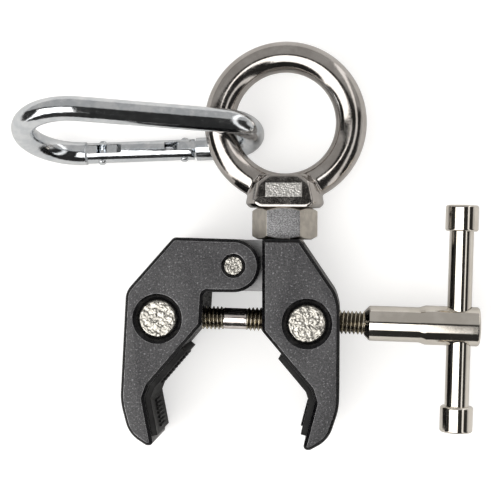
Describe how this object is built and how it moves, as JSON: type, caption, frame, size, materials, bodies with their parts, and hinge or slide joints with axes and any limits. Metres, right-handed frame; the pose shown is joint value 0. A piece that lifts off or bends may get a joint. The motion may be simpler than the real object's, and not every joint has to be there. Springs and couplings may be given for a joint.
{
  "type": "beam clamp",
  "caption": "Two-jaw screw clamp with rubber-lined V mouth, sliding T-bar handle, lifting eye bolt with lock nut and a spring-gate snap hook.",
  "frame": {"origin": "on the eye bolt's axis, level with the jaws' hinge, on the flat back faces of the jaws", "axes": "+X towards the T handle, +Y out along the eye bolt, +Z out of the front faces; the clamp lies on its back"},
  "size_m": [0.1175, 0.1012, 0.0303],
  "materials": {
    "jaw_black": "bead-blasted, black anodised",
    "pad_rubber": "satin moulded",
    "peened_nickel": "peened, nickel plated",
    "spindle_steel": "turned, yellow zinc",
    "handle_nickel": "polished nickel",
    "eye_stainless": "polished stainless",
    "nut_stainless": "blasted stainless",
    "hook_zinc": "bright zinc plate",
    "spring_steel": "drawn wire"
  },
  "bodies": {
    "fixed_side": {"fixed_jaw": "jaw_black", "fixed_jaw_pad": "pad_rubber", "eye_bolt": "eye_stainless", "lock_nut": "nut_stainless"},
    "moving_side": {"moving_jaw": "jaw_black", "moving_jaw_pad": "pad_rubber", "pivot_pin": "peened_nickel"},
    "fixed_nut": {"fixed_barrel_nut": "peened_nickel"},
    "moving_nut": {"moving_barrel_nut": "peened_nickel"},
    "spindle": {"clamp_spindle": "spindle_steel"},
    "handle": {"handle_hub": "handle_nickel"},
    "t_bar": {"t_bar": "handle_nickel", "t_bar_cap_upper": "handle_nickel", "t_bar_cap_lower": "handle_nickel"},
    "snap_hook": {"carabiner_body": "hook_zinc"},
    "gate": {"carabiner_gate": "hook_zinc", "gate_rivet": "hook_zinc", "gate_latch_pin": "hook_zinc", "gate_spring": "spring_steel", "gate_plunger": "spring_steel"}
  },
  "joints": [
    {"name": "handle_spin", "type": "hinge", "parent": "spindle", "child": "handle", "pos_m": [0.04365, -0.01489, 0.011], "axis": [-0.9997, 0.0236, 0], "range_deg": [-205, 1951]},
    {"name": "jaw_hinge", "type": "hinge", "parent": "fixed_side", "child": "moving_side", "pos_m": [-0.012, 0, 0.011], "axis": [0, 0, 1], "range_deg": [-4, 38]},
    {"name": "fixed_nut_turn", "type": "hinge", "parent": "fixed_side", "child": "fixed_nut", "pos_m": [0.00605, -0.01401, 0.011], "axis": [0, 0, 1], "range_deg": [-2, 19]},
    {"name": "moving_nut_turn", "type": "hinge", "parent": "moving_side", "child": "moving_nut", "pos_m": [-0.0307, -0.01314, 0.011], "axis": [0, 0, 1], "range_deg": [-19, 2]},
    {"name": "spindle_slide", "type": "slide", "parent": "fixed_nut", "child": "spindle", "axis": [0.9997, -0.0236, 0], "range_m": [-0.0006, 0.00545]},
    {"name": "t_bar_slide", "type": "slide", "parent": "handle", "child": "t_bar", "axis": [0.0236, 0.9997, 0], "range_m": [-0.0187, 0.0149]},
    {"name": "hook_swing", "type": "hinge", "parent": "fixed_side", "child": "snap_hook", "pos_m": [-0.01635, 0.03302, 0.0105], "axis": [-0.0359, 0.9348, -0.3535], "range_deg": [-90, 110]},
    {"name": "gate_hinge", "type": "hinge", "parent": "snap_hook", "child": "gate", "pos_m": [-0.02663, 0.02979, 0.00302], "axis": [-0.0359, 0.9348, -0.3535], "range_deg": [0, 28], "stiffness_Nm_per_rad": 0.05, "springref_deg": -20.05}
  ],
  "couplings": [
    {"joint": "jaw_hinge", "follows": "handle_spin", "ratio": 0.019471},
    {"joint": "fixed_nut_turn", "follows": "handle_spin", "ratio": 0.0097355},
    {"joint": "moving_nut_turn", "follows": "handle_spin", "ratio": -0.0097355},
    {"joint": "spindle_slide", "follows": "handle_spin", "m_per_rad": 0.00015915}
  ]
}
